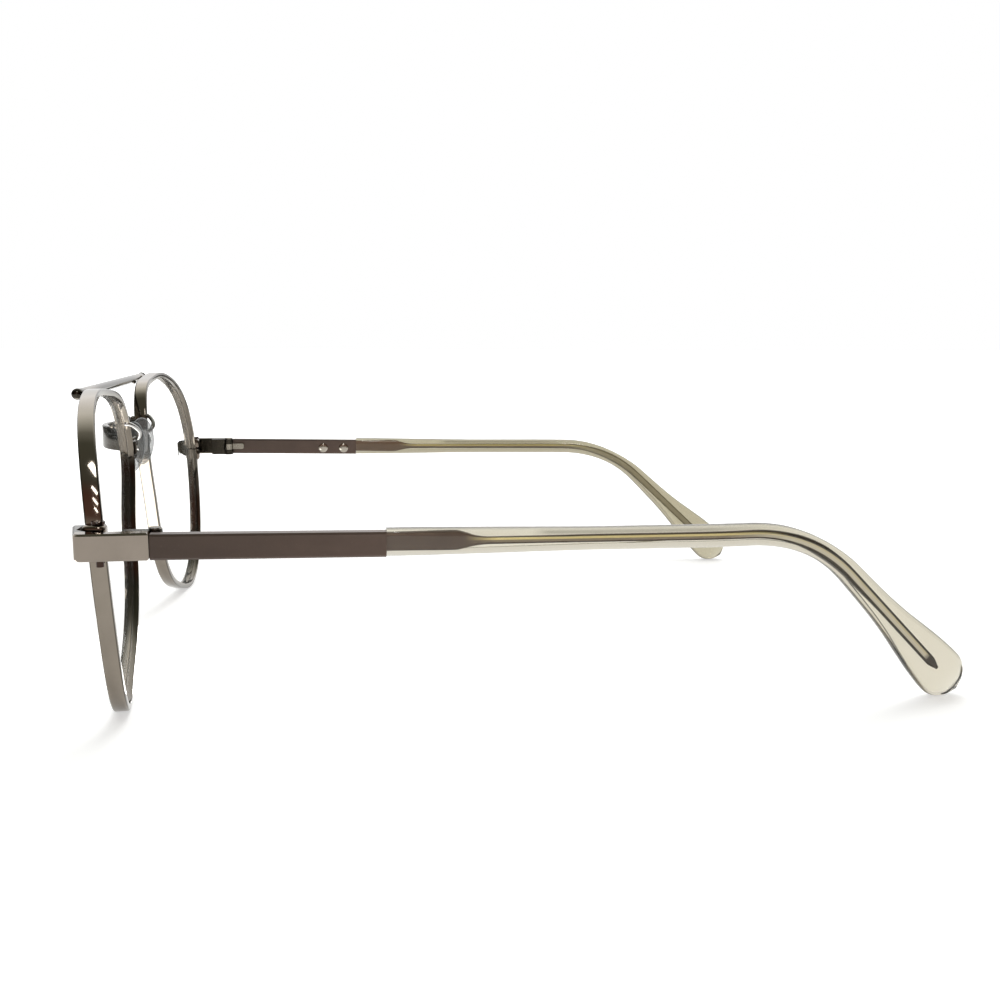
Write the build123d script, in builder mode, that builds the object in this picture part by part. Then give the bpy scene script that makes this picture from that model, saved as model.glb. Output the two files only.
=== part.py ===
from build123d import *
from math import cos, radians, sin, sqrt, tan
import os

# Double bridge glasses, standing open on their rims and temple tips. Sizes in millimetres.
# X runs to the wearer's left, Y from the front to the back, Z up from the table.
# Everything is drawn for the wearer's left, and the right side is its mirror image.

# overall
half_depth = 74.5
front = -half_depth
run_out = 40.0

# rim outline, as shares of half of its width, from the outer side over the top
rim_half = 26.2
rim_outline_shares = (
    (0.996, 0), (0.964, 0.399), (0.750, 0.750), (0.384, 0.926), (0, 0.978), (-0.395, 0.955),
    (-0.842, 0.842), (-1.0, 0.414), (-0.844, 0), (-0.757, -0.314), (-0.595, -0.595), (-0.330, -0.797),
    (0, -0.920), (0.403, -0.974), (0.758, -0.758), (0.932, -0.386),
)
rim_centre_x = 35.0
rim_side_x = rim_centre_x + rim_half
rim_setback = 5.1
rim_centre_z = 25.695
rim_wrap = 3.8
rim_lean = 3.55
lens_radius_across = 190.0
lens_radius_upright = 700.0

# rim section
rim_depth = 2.5
rim_wall = 1.17
rim_round = 0.3
groove_deep = 0.45
groove_wide = 1.3
split_gap = 0.25
rail_offset = 5.0

# lens
lens_gap = 0.06
lens_proud = 0.7
lens_thick = 2.4
lens_edge_bevel = 0.35
bevel_deep = 0.34
bevel_wide = 1.0
space_margin = 3.0
slab_half_turn = 14.0

# brow bar
bar_radius = 0.85
bar_half_length = 33.4
bar_setback = 2.45
bar_height_share = 0.94485
bar_height = rim_centre_z + bar_height_share * rim_half
bar_ball_radius = 0.98
solder_spots = ((18.6, -0.4), (28.0, 0.05))
solder_radius = 0.55
solder_long = 1.16

# lower bridge
strap_tall = 4.4
strap_thick = 1.1
strap_height = 40.7
strap_half_span = 9.5
strap_bow = 4.25
strap_chamfer = 0.25
bead_radius = 0.6
bead_x = 8.3
bead_setback = 3.2
bead_height = 43.15
corner_bead_radius = 0.5
corner_bead_x = 9.25
corner_bead_setback = 4.1
corner_bead_height = 43.05

# endpiece
side_reach = 7.06
side_half_width = rim_side_x + side_reach
joint_setback = 17.95
end_floor = 29.4
end_tall = 3.9
end_leg_thick = 2.2
end_corner_setback = 8.0
end_nose_inset = 1.0
end_lip_inset = 2.3
end_knee_reach = 3.1
end_nose_x = rim_side_x - end_nose_inset
end_nose_setback = 6.35
end_lip_x = rim_side_x - end_lip_inset
end_lip_setback = 7.1
end_lip_thick = 0.7
end_lip_long = 1.6
end_back_setback = 8.05
end_knee_x = rim_side_x + end_knee_reach
end_knee_setback = 9.8
end_corner_round = 1.0
end_foot_setback = 6.5
end_foot_round = 2.3
end_chamfer = 0.3

# closing blocks on the split of the rim
split_height = 31.3
block_inner_inset = 0.7
block_outer_reach = 2.3
block_screw_reach = 1.05
block_inner_x = rim_side_x - block_inner_inset
block_outer_x = rim_side_x + block_outer_reach
block_front_setback = 8.06
block_deep = 3.35
block_top = 33.7
block_bottom = 28.3
block_chamfer = 0.25
block_screw_x = rim_side_x + block_screw_reach
block_screw_setback = 10.3
block_screw_radius = 0.55
block_screw_head_radius = 0.95
block_screw_head_tall = 0.4
block_screw_tail = 0.8
thread_gap = 0.02
slot_wide = 0.25
slot_deep = 0.15

# temple frame at the hinge joint
joint_y = front + joint_setback
temple_height = 31.26
temple_converge = 0.0154
temple_drop = 0.0164
joint_gap = 0.12

# temple bar
bar_long = 32.8
bar_tall = 3.65
bar_thick = 2.4
bar_chamfer = 0.3
rivet_alongs = (24.35, 29.6)
rivet_radius = 0.65
rivet_drop = 0.25
rivet_proud = 0.12

# hinge
knuckle_radius = 1.05
axis_inset = 1.2
axis_back = 0.45
hinge_floor = 29.35
hinge_tall = 3.9
middle_tall = 1.4
knuckle_gap = 0.06
knuckle_clear = 0.2
plate_long = 3.6
plate_inner = 1.66
plate_end_gap = 0.1
leaf_long = 3.7
leaf_thick = 0.86
pin_radius = 0.5
pin_head_radius = 0.9
pin_head_tall = 0.25
pin_gap = 0.05

# temple centre line: straight, bent down on an arc, then straight to the middle of the round end
straight_long = 88.8
straight_rise = 0.6
ear_radius = 28.0
ear_bend = 42.7
ear_long = 26.62
tip_inset = 1.25
inward_start = 80.0
inward_ramp = 12.6
inward_slope = 0.195
line_step = 0.05
arm_long = straight_long + ear_radius * radians(ear_bend) + ear_long

# tip stations, as shares of the arm's length, the round end's width and the tip's thickness
tip_wide = 8.55
tip_thick = 2.9
tip_round_share = 0.42
tip_station_shares = (
    (0.2408, 0.478, 0.86), (0.262, 0.480, 0.90), (0.307, 0.465, 0.97), (0.362, 0.444, 1.0), (0.418, 0.420, 1.0),
    (0.473, 0.403, 1.0), (0.5535, 0.407, 1.0), (0.635, 0.409, 1.0), (0.6877, 0.405, 1.0), (0.7165, 0.392, 1.0),
    (0.742, 0.388, 1.0), (0.768, 0.405, 1.0), (0.802, 0.450, 1.0), (0.825, 0.476, 1.0), (0.864, 0.535, 1.0),
    (0.898, 0.635, 0.99), (0.933, 0.790, 0.97), (0.967, 0.930, 0.95), (1.0, 1.0, 0.92),
)
tip_cap_shares = (0.22, 0.42, 0.6, 0.75, 0.87, 0.95, 0.99)
cap_flat_share = 0.7

# core stations, as shares of the arm's length, the tang's height and the core's thickness
core_tall = 2.4
core_thick = 0.9
core_round_share = 0.3
core_gap = 0.06
core_station_shares = (
    (0.146, 1.0, 1.0), (0.20, 1.0, 1.0), (0.25, 1.0, 1.0), (0.29, 1.0, 1.0), (0.32, 1.0, 1.0), (0.330, 0.72, 1.0),
    (0.340, 0.52, 1.0), (0.350, 0.42, 1.0), (0.42, 0.42, 1.0), (0.50, 0.42, 1.0), (0.58, 0.43, 1.0), (0.64, 0.44, 1.0),
    (0.69, 0.50, 1.0), (0.73, 0.57, 1.0), (0.77, 0.62, 1.0), (0.82, 0.66, 1.0), (0.90, 0.67, 1.0), (0.978, 0.67, 1.0),
    (0.990, 0.22, 0.8),
)

# nose pads
pad_x = 5.5
pad_setback = 6.3
pad_height = 38.8
pad_tall = 9.6
pad_wide = 4.9
pad_thick = 2.0
pad_round = 0.8
pad_splay = 15.0
pad_flare = 10.0
shank_long = 4.6
shank_wide = 2.2
shank_thick = 0.5
shank_inset = 0.55
shank_gap = 0.03
lug_size = 1.15
lug_reach = 1.6

# pad boxes, screws and arms
box_x = 7.15
box_deep = 1.3
box_size = 2.2
box_cavity = 1.65
box_back = 0.2
pad_screw_x = 7.55
pad_screw_radius = 0.25
pad_screw_head_radius = 0.5
pad_screw_head_tall = 0.25
arm_radius = 0.42
arm_spots = ((10.9, 5.9, 43.6), (10.2, 7.5, 42.95), (8.95, 8.1, 41.8), (8.05, 7.5, 40.65), (7.85, 6.6, 39.86))
arm_way_out = (0, 1, 0)
arm_way_in = (0, -0.5, -1)

# the rim's own frame: x outward, y up, z to the front
rim_origin = (rim_centre_x, front + rim_setback, rim_centre_z)
wrap_cos = cos(radians(rim_wrap))
wrap_sin = sin(radians(rim_wrap))
eye_plane = Plane(origin=rim_origin, x_dir=(wrap_cos, wrap_sin, 0), z_dir=(wrap_sin, -wrap_cos, 0))


def front_bulge(across, up):
    # how far the rim's front edge stands forward at a point of the outline
    sag = across ** 2 / lens_radius_across / 2 + up ** 2 / lens_radius_upright / 2
    return up * tan(radians(rim_lean)) - sag


outline = [(rim_half * across, rim_half * up) for across, up in rim_outline_shares]
edge_points = [(across, up, front_bulge(across, up)) for across, up in outline]
rail_points = [(across, up, forward + rail_offset) for across, up, forward in edge_points]
with BuildLine(eye_plane) as rim_edge:
    Spline(*edge_points, periodic=True)
with BuildLine(eye_plane) as rim_rail:
    Spline(*rail_points, periodic=True)
rim_wire = rim_edge.wires()[0]
rim_guide = rim_rail.edges()[0]
rim_start = rim_wire @ 0
rim_way = rim_wire % 0
section_plane = Plane(origin=rim_start, x_dir=rim_way.cross(eye_plane.z_dir), z_dir=rim_way)

# section of the rim: x outward from its outer face, y back from its front face
groove_mid = rim_depth / 2
rim_section = (
    (0, 0), (0, rim_depth), (-rim_wall, rim_depth), (-rim_wall, groove_mid + groove_wide / 2),
    (groove_deep - rim_wall, groove_mid), (-rim_wall, groove_mid - groove_wide / 2), (-rim_wall, 0),
)
with BuildSketch(section_plane) as rim_profile:
    with BuildLine():
        Polyline(*rim_section, close=True)
    make_face()
    with Locations((-rim_round / 2, rim_round / 2), (-rim_round / 2, rim_depth - rim_round / 2)):
        Rectangle(rim_round, rim_round, mode=Mode.SUBTRACT)
    with Locations((-rim_round, rim_round), (-rim_round, rim_depth - rim_round)):
        Circle(rim_round)

with BuildPart() as whole_rim:
    add(rim_profile.sketch)
    sweep(path=rim_wire, binormal=rim_guide)

with BuildPart() as both_rims:
    add(whole_rim.part)
    mirror(about=Plane.YZ)

with BuildPart() as left_rim:
    add(whole_rim.part)
    with Locations((rim_centre_x + rim_half, front + rim_setback, split_height)):
        Box(rim_half, rim_half, split_gap, mode=Mode.SUBTRACT)

# lens: a doubly curved slab inside the rim, with a bevel that runs in the groove
lens_up = eye_plane.from_local_coords((0, cos(radians(rim_lean)), sin(radians(rim_lean)))) - eye_plane.origin
lens_out = eye_plane.x_dir
lens_front = lens_out.cross(lens_up)
slab_plane = Plane(origin=rim_origin, x_dir=lens_up, z_dir=lens_out)
turn_centre = Vector(*rim_origin) - lens_front * lens_radius_across
upright_drop = run_out ** 2 / lens_radius_upright / 2
lens_back = lens_proud - lens_thick
with BuildPart() as lens_slab:
    with BuildSketch(slab_plane) as slab_section:
        with BuildLine():
            ThreePointArc((-run_out, lens_proud - upright_drop), (0, lens_proud), (run_out, lens_proud - upright_drop))
            Line((run_out, lens_proud - upright_drop), (run_out, lens_back - upright_drop))
            ThreePointArc((run_out, lens_back - upright_drop), (0, lens_back), (-run_out, lens_back - upright_drop))
            Line((-run_out, lens_back - upright_drop), (-run_out, lens_proud - upright_drop))
        make_face()
    revolve(axis=Axis(turn_centre, lens_up), revolution_arc=slab_half_turn)
    mirror(about=slab_plane)

# the space that the rim takes from the lens, with the groove's room for the lens's bevel
space_edge = -rim_wall - lens_gap
bevel_tip = bevel_deep - rim_wall
edge_start = lens_edge_bevel - lens_proud
edge_slope_long = space_margin + edge_start
lens_space_section = (
    (space_margin, -space_margin), (space_margin, rim_depth + space_margin),
    (space_edge, rim_depth + space_margin), (space_edge, groove_mid + bevel_wide / 2),
    (bevel_tip, groove_mid), (space_edge, groove_mid - bevel_wide / 2), (space_edge, edge_start),
    (space_edge - edge_slope_long, -space_margin),
)
with BuildPart() as lens_space:
    with BuildSketch(section_plane):
        with BuildLine():
            Polyline(*lens_space_section, close=True)
        make_face()
    sweep(path=rim_wire, binormal=rim_guide)

with BuildPart() as left_lens:
    with BuildSketch(eye_plane.offset(-run_out)):
        with BuildLine():
            Spline(*outline, periodic=True)
        make_face()
    extrude(amount=2 * run_out)
    add(lens_slab.part, mode=Mode.INTERSECT)
    add(lens_space.part, mode=Mode.SUBTRACT)

# brow bar: a straight rod in front of both rims, with a ball at each end and solder behind it
bar_y = front + bar_setback
bar_centre = (0, bar_y, bar_height)
with BuildPart() as brow_bar:
    with BuildSketch(Plane(origin=bar_centre, x_dir=(1, 0, 0), z_dir=(0, 0, 1))):
        Rectangle(2 * bar_half_length, 2 * bar_radius)
        with Locations((-bar_half_length, 0), (bar_half_length, 0)):
            Circle(bar_ball_radius)
        Rectangle(2 * run_out, run_out, align=(Align.CENTER, Align.MAX), mode=Mode.SUBTRACT)
    revolve(axis=Axis(bar_centre, (1, 0, 0)))
    with BuildSketch(Plane(origin=bar_centre, x_dir=(1, 0, 0), z_dir=(0, 1, 0))):
        for across, above in solder_spots:
            with Locations((across, -above), (-across, -above)):
                Circle(solder_radius)
    extrude(amount=solder_long)

# lower bridge: a strap bowed forward, soldered to the inner sides of the rims
strap_end_y = front + strap_thick / 2 + strap_bow
with BuildPart() as bridge:
    with BuildLine() as strap_line:
        ThreePointArc((-strap_half_span, strap_end_y, strap_height), (0, strap_end_y - strap_bow, strap_height),
                      (strap_half_span, strap_end_y, strap_height))
    with BuildSketch(Plane(origin=strap_line.line @ 0, x_dir=(0, 0, 1), z_dir=strap_line.line % 0)) as strap_profile:
        Rectangle(strap_tall, strap_thick)
        chamfer(strap_profile.vertices(), length=strap_chamfer)
    sweep(path=strap_line.line)
    for side in (-1, 1):
        with Locations((side * bead_x, front + bead_setback, bead_height)):
            Sphere(bead_radius)
        with Locations((side * corner_bead_x, front + corner_bead_setback, corner_bead_height)):
            Sphere(corner_bead_radius)
    add(both_rims.part, mode=Mode.SUBTRACT)

# endpiece: a bent plate from the front of the rim round the corner to the hinge
end_inner_x = side_half_width - end_leg_thick
with BuildPart() as left_endpiece:
    with BuildSketch(Plane.XY.offset(end_floor)) as end_plan:
        with BuildLine():
            Polyline(
                (side_half_width, joint_y), (side_half_width, front + end_corner_setback),
                (end_nose_x, front + end_nose_setback), (end_nose_x, front + end_back_setback + rim_round),
                (end_knee_x, front + end_back_setback), (end_inner_x, front + end_knee_setback),
                (end_inner_x, joint_y), close=True,
            )
        make_face()
        fillet(end_plan.vertices().sort_by(Axis.X)[-2:].sort_by(Axis.Y)[0], radius=end_corner_round)
    extrude(amount=end_tall)
    foot_edge = left_endpiece.faces().sort_by(Axis.Z)[0].edges()
    head_edge = left_endpiece.faces().sort_by(Axis.Z)[-1].edges()
    chamfer(foot_edge + head_edge, length=end_chamfer)
    with BuildSketch(Plane.XY.offset(end_floor + end_chamfer)):
        with Locations((end_lip_x, front + end_lip_setback)):
            Rectangle(end_lip_long, end_lip_thick, align=(Align.MIN, Align.MAX))
    extrude(amount=end_tall - 2 * end_chamfer)
    with BuildSketch(Plane.YZ.offset(end_lip_x)):
        with Locations((front + end_foot_setback, end_floor)):
            Rectangle(end_foot_round, end_foot_round, align=(Align.MIN, Align.MIN))
        with Locations((front + end_foot_setback + end_foot_round, end_floor + end_foot_round)):
            Circle(end_foot_round, mode=Mode.SUBTRACT)
    extrude(amount=run_out, mode=Mode.SUBTRACT)
    add(whole_rim.part, mode=Mode.SUBTRACT)

# closing blocks and their screw
block_y = front + block_front_setback
blocks = {}
for name, low, high in (
    ("left_block_upper", split_height + split_gap / 2, block_top),
    ("left_block_lower", block_bottom, split_height - split_gap / 2),
):
    with BuildPart() as block:
        with Locations((block_inner_x, block_y, low)):
            Box(block_outer_x - block_inner_x, block_deep, high - low, align=(Align.MIN, Align.MIN, Align.MIN))
        chamfer(block.edges().filter_by(Axis.Z).sort_by(Axis.X)[-2:], length=block_chamfer)
        with Locations((block_screw_x, front + block_screw_setback, low)):
            Cylinder(block_screw_radius + thread_gap, run_out, mode=Mode.SUBTRACT)
        add(whole_rim.part, mode=Mode.SUBTRACT)
        add(left_endpiece.part, mode=Mode.SUBTRACT)
    blocks[name] = block.part

with BuildPart() as left_block_screw:
    with BuildSketch(Plane.XY.offset(block_bottom - block_screw_tail)):
        with Locations((block_screw_x, front + block_screw_setback)):
            Circle(block_screw_radius)
    extrude(amount=block_top - block_bottom + block_screw_tail)
    with BuildSketch(Plane.XY.offset(block_top)):
        with Locations((block_screw_x, front + block_screw_setback)):
            Circle(block_screw_head_radius)
    extrude(amount=block_screw_head_tall)
    with Locations((block_screw_x, front + block_screw_setback, block_top + block_screw_head_tall)):
        Box(run_out, slot_wide, 2 * slot_deep, mode=Mode.SUBTRACT)

# temple frame: x along the temple, y up, z out from its outer face
temple_plane = Plane(
    origin=(side_half_width, joint_y, temple_height),
    x_dir=(-temple_converge, 1, -temple_drop),
    z_dir=(1, temple_converge, 0),
)
bar_start = joint_gap
with BuildPart() as temple_blank:
    with BuildSketch(temple_plane):
        with Locations((bar_start, 0)):
            Rectangle(bar_long - bar_start, bar_tall, align=(Align.MIN, Align.CENTER))
    extrude(amount=-bar_thick)
    long_axis = Axis((0, 0, 0), temple_plane.x_dir)
    chamfer(temple_blank.edges().filter_by(long_axis), length=bar_chamfer)


def line_point(distance):
    # point of the temple's centre line at a distance behind the joint, in the temple frame
    ear_angle = radians(ear_bend)
    arc_end = straight_long + ear_radius * ear_angle
    if distance <= straight_long:
        along, up = distance, straight_rise * distance / straight_long
    elif distance <= arc_end:
        angle = (distance - straight_long) / ear_radius
        along = straight_long + ear_radius * sin(angle)
        up = straight_rise - ear_radius * (1 - cos(angle))
    else:
        rest = distance - arc_end
        along = straight_long + ear_radius * sin(ear_angle) + rest * cos(ear_angle)
        up = straight_rise - ear_radius * (1 - cos(ear_angle)) - rest * sin(ear_angle)
    past = max(along - inward_start, 0)
    if past < inward_ramp:
        inward = inward_slope * past ** 2 / inward_ramp / 2
    else:
        inward = inward_slope * (past - inward_ramp / 2)
    return Vector(along, up, -tip_inset - inward)


def station_plane(distance):
    # plane square to the centre line, its x pointing up the temple's side
    here = line_point(distance)
    way = (line_point(distance + line_step) - line_point(distance - line_step)).normalized()
    across = Vector(-way.Y, way.X, 0).normalized()
    base = temple_plane.from_local_coords(here)
    return Plane(
        origin=base,
        x_dir=temple_plane.from_local_coords(here + across) - base,
        z_dir=temple_plane.from_local_coords(here + way) - base,
    )


# clear tip, drawn through its stations and closed with a round end
tip_rows = [(arm_long * far, tip_wide * tall, tip_thick * thick) for far, tall, thick in tip_station_shares]
end_thick = tip_rows[-1][-1]
for share in tip_cap_shares:
    rest = sqrt(1 - share ** 2)
    flat = sqrt(1 - (cap_flat_share * share) ** 2)
    tip_rows.append((arm_long + share * tip_wide / 2, tip_wide * rest, end_thick * flat))
with BuildPart() as tip_blank:
    for distance, tall, thick in tip_rows:
        with BuildSketch(station_plane(distance)):
            RectangleRounded(tall, thick, min(tall, thick) * tip_round_share)
    loft()

# core, once at its size and once with its clearance
core_shapes = []
for grow in (0, core_gap):
    with BuildPart() as core_shape:
        for far, tall, thick in core_station_shares:
            wide = core_tall * tall + 2 * grow
            deep = core_thick * thick + 2 * grow
            with BuildSketch(station_plane(arm_long * far)):
                RectangleRounded(wide, deep, min(wide, deep) * core_round_share)
        loft(ruled=True)
    core_shapes.append(core_shape.part)
core_solid, core_space = core_shapes

# rivets that hold the core's tang in the bar
with BuildPart() as left_crimp_rivets:
    with BuildSketch(temple_plane.offset(-bar_thick - rivet_proud)):
        for along in rivet_alongs:
            with Locations((along, -rivet_drop)):
                Circle(rivet_radius)
    extrude(amount=bar_thick - tip_inset - core_thick / 2 + rivet_proud)

with BuildPart() as rivet_space:
    with BuildSketch(temple_plane.offset(-bar_thick - rivet_proud)):
        for along in rivet_alongs:
            with Locations((along, -rivet_drop)):
                Circle(rivet_radius + thread_gap)
    extrude(amount=bar_thick - tip_inset + rivet_proud)

with BuildPart() as left_temple_bar:
    add(temple_blank.part)
    add(core_space, mode=Mode.SUBTRACT)
    add(rivet_space.part, mode=Mode.SUBTRACT)

with BuildPart() as left_temple_core:
    add(core_solid)

with BuildPart() as left_temple_tip:
    add(tip_blank.part)
    add(core_space, mode=Mode.SUBTRACT)
    add(temple_blank.part, mode=Mode.SUBTRACT)

# hinge: a double knuckle on the endpiece, a single one on the bar, and a screw as the pin
axis_x = side_half_width - bar_thick - axis_inset
axis_y = joint_y + axis_back
middle_floor = hinge_floor + (hinge_tall - middle_tall) / 2
with BuildPart() as left_hinge_front:
    with BuildSketch(Plane.XY.offset(hinge_floor)):
        with Locations((end_inner_x, joint_y - plate_end_gap)):
            Rectangle(plate_inner, plate_long, align=(Align.MAX, Align.MAX))
        with Locations((axis_x, axis_y)):
            Circle(knuckle_radius)
    extrude(amount=hinge_tall)
    with BuildSketch(Plane.XY.offset(middle_floor - knuckle_gap)):
        with Locations((axis_x, axis_y - knuckle_radius - knuckle_clear)):
            Rectangle(run_out, run_out, align=(Align.CENTER, Align.MIN))
    extrude(amount=middle_tall + 2 * knuckle_gap, mode=Mode.SUBTRACT)
    with Locations((axis_x, axis_y, hinge_floor)):
        Cylinder(pin_radius + thread_gap, run_out, mode=Mode.SUBTRACT)

bar_inner_x = side_half_width - bar_thick
with BuildPart() as left_hinge_rear:
    with BuildSketch(Plane.XY.offset(middle_floor)):
        with Locations((bar_inner_x - leaf_thick, axis_y)):
            Rectangle(leaf_thick + bar_thick / 2, leaf_long, align=(Align.MIN, Align.MIN))
        with Locations((axis_x, axis_y)):
            Circle(knuckle_radius)
            Circle(pin_radius + pin_gap, mode=Mode.SUBTRACT)
    extrude(amount=middle_tall)
    with Locations((axis_x, axis_y, middle_floor)):
        Cylinder(pin_radius + pin_gap, run_out, mode=Mode.SUBTRACT)
    leaf_end = left_hinge_rear.edges().filter_by(Axis.X).group_by(Axis.Y)[-1]
    fillet(leaf_end, radius=middle_tall * core_round_share)
    add(temple_blank.part, mode=Mode.SUBTRACT)

with BuildPart() as left_hinge_screw:
    with BuildSketch(Plane.XY.offset(hinge_floor)):
        with Locations((axis_x, axis_y)):
            Circle(pin_radius)
    extrude(amount=hinge_tall)
    with BuildSketch(Plane.XY.offset(hinge_floor + hinge_tall)):
        with Locations((axis_x, axis_y)):
            Circle(pin_head_radius)
    extrude(amount=pin_head_tall)
    with Locations((axis_x, axis_y, hinge_floor + hinge_tall + pin_head_tall)):
        Box(slot_wide, run_out, 2 * slot_deep, mode=Mode.SUBTRACT)

# nose pad in its own frame: x to the back, y up, z toward the nose
pad_normal = Vector(-cos(radians(pad_splay)), sin(radians(pad_splay)), -sin(radians(pad_flare)))
pad_back = Vector(sin(radians(pad_splay)), cos(radians(pad_splay)), 0)
pad_plane = Plane(origin=(pad_x, front + pad_setback, pad_height), x_dir=pad_back, z_dir=pad_normal)
with BuildPart() as pad_blank:
    with BuildSketch(pad_plane.offset(-pad_thick / 2)):
        Ellipse(pad_wide / 2, pad_tall / 2)
    extrude(amount=pad_thick)
    fillet(pad_blank.edges().filter_by(GeomType.ELLIPSE), radius=pad_round)

lug_plane = Plane(origin=(pad_x, front + pad_setback, pad_height), x_dir=(0, 1, 0), z_dir=(1, 0, 0))
shank_shapes = []
for grow in (0, shank_gap):
    with BuildPart() as shank_shape:
        with BuildSketch(pad_plane.offset(-pad_thick / 2 + shank_inset - grow)):
            RectangleRounded(shank_wide + 2 * grow, shank_long + 2 * grow, shank_wide * core_round_share)
        extrude(amount=shank_thick + 2 * grow)
        with BuildSketch(lug_plane):
            Rectangle(lug_size + 2 * grow, lug_size + 2 * grow)
        extrude(amount=pad_thick / 2 + lug_reach)
        with BuildSketch(pad_plane.offset(-pad_thick / 2 + shank_inset + shank_thick + grow)):
            Rectangle(run_out, run_out)
        extrude(amount=run_out, mode=Mode.SUBTRACT)
    shank_shapes.append(shank_shape.part)
shank_solid, shank_space = shank_shapes

screw_x = pad_screw_x
screw_y = front + pad_setback
screw_plane = Plane(origin=(screw_x, screw_y - box_size / 2, pad_height), x_dir=(1, 0, 0), z_dir=(0, 1, 0))
with BuildPart() as left_pad_mount:
    add(shank_solid)
    with BuildSketch(screw_plane):
        Circle(pad_screw_radius + pin_gap)
    extrude(amount=box_size, mode=Mode.SUBTRACT)

with BuildPart() as left_nose_pad:
    add(pad_blank.part)
    add(shank_space, mode=Mode.SUBTRACT)

with BuildPart() as left_pad_screw:
    with BuildSketch(screw_plane):
        Circle(pad_screw_radius)
    extrude(amount=box_size)
    with BuildSketch(screw_plane.offset(box_size)):
        Circle(pad_screw_head_radius)
    extrude(amount=pad_screw_head_tall)
    with Locations((screw_x, screw_y + box_size / 2 + pad_screw_head_tall, pad_height)):
        Box(slot_wide, 2 * slot_deep, run_out, mode=Mode.SUBTRACT)

with BuildPart() as left_pad_box:
    with BuildSketch(Plane.YZ.offset(box_x)) as box_face:
        with Locations((screw_y, pad_height)):
            RectangleRounded(box_size, box_size, (box_size - box_cavity) / 2)
    extrude(amount=box_deep)
    with BuildSketch(Plane.YZ.offset(box_x)):
        with Locations((screw_y, pad_height)):
            Rectangle(box_cavity, box_cavity)
    extrude(amount=box_deep - box_back, mode=Mode.SUBTRACT)
    with BuildSketch(screw_plane):
        Circle(pad_screw_radius + thread_gap)
    extrude(amount=box_size, mode=Mode.SUBTRACT)

# pad arm: a wire from the back of the rim, bowed back and down to the top of the box
arm_points = [(across, front + setback, up) for across, setback, up in arm_spots]
with BuildPart() as left_pad_arm:
    with BuildLine() as arm_line:
        Spline(*arm_points, tangents=(arm_way_out, arm_way_in))
    with BuildSketch(Plane(origin=arm_line.line @ 0, z_dir=arm_line.line % 0)):
        Circle(arm_radius)
    sweep(path=arm_line.line)
    add(whole_rim.part, mode=Mode.SUBTRACT)
    add(left_pad_box.part, mode=Mode.SUBTRACT)

# write every piece, the left ones once more as their mirror image
os.makedirs("parts", exist_ok=True)
middle_pieces = {"brow_bar": brow_bar.part, "bridge": bridge.part}
left_pieces = {
    "rim": left_rim.part,
    "lens": left_lens.part,
    "endpiece": left_endpiece.part,
    "block_upper": blocks["left_block_upper"],
    "block_lower": blocks["left_block_lower"],
    "block_screw": left_block_screw.part,
    "hinge_front": left_hinge_front.part,
    "hinge_screw": left_hinge_screw.part,
    "hinge_rear": left_hinge_rear.part,
    "temple_bar": left_temple_bar.part,
    "temple_core": left_temple_core.part,
    "temple_tip": left_temple_tip.part,
    "crimp_rivets": left_crimp_rivets.part,
    "pad_arm": left_pad_arm.part,
    "pad_box": left_pad_box.part,
    "pad_screw": left_pad_screw.part,
    "pad_mount": left_pad_mount.part,
    "nose_pad": left_nose_pad.part,
}
for name, piece in middle_pieces.items():
    piece.label = name
    export_step(piece, f"parts/{name}.step")
for name, piece in left_pieces.items():
    piece.label = f"left_{name}"
    export_step(piece, f"parts/left_{name}.step")
    with BuildPart() as twin:
        mirror(piece, about=Plane.YZ)
    twin.part.label = f"right_{name}"
    export_step(twin.part, f"parts/right_{name}.step")
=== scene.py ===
from math import cos, pi, radians, sin, sqrt, tan

import bmesh
import bpy
import numpy as np
from mathutils import Matrix, Quaternion, Vector


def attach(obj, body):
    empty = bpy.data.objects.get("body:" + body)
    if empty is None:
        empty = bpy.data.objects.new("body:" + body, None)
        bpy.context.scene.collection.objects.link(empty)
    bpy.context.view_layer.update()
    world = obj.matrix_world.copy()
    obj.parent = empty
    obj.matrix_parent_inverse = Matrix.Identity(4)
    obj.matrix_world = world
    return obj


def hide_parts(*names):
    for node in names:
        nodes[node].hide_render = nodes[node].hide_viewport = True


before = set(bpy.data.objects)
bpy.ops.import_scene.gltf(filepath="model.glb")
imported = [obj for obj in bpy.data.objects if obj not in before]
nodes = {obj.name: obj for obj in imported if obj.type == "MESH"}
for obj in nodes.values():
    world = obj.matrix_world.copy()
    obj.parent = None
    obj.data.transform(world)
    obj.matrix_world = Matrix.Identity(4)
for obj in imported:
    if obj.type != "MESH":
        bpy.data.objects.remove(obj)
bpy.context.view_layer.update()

# ---- sizes in millimetres: those of the part's source, and those of trim that only this file has ----

METRE = 0.001
FRONT = -74.5
RIM_HALF = 26.2
# places on the rim as shares of half its width, from the outer side over the top
RIM_OUTLINE = (
    (0.996, 0), (0.964, 0.399), (0.750, 0.750), (0.384, 0.926), (0, 0.978), (-0.395, 0.955),
    (-0.842, 0.842), (-1.0, 0.414), (-0.844, 0), (-0.757, -0.314), (-0.595, -0.595),
    (-0.330, -0.797), (0, -0.920), (0.403, -0.974), (0.758, -0.758), (0.932, -0.386),
)
RIM_CENTRE = (35.0, FRONT + 5.1, 25.695)
RIM_WRAP = radians(3.8)
RIM_LEAN = radians(3.55)
RADIUS_ACROSS = 190.0
RADIUS_UPRIGHT = 700.0
RIM_DEPTH = 2.5
RIM_WALL = 1.17
RIM_ROUND = 0.3
RIM_SAMPLES = 360
RIM_CORNER_STEPS = 5
GROOVE_DEEP = 0.45
GROOVE_WIDE = 1.3
LIP_ROUND = 0.08
SPLIT_HEIGHT = 31.3
SPLIT_GAP = 0.25

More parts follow.
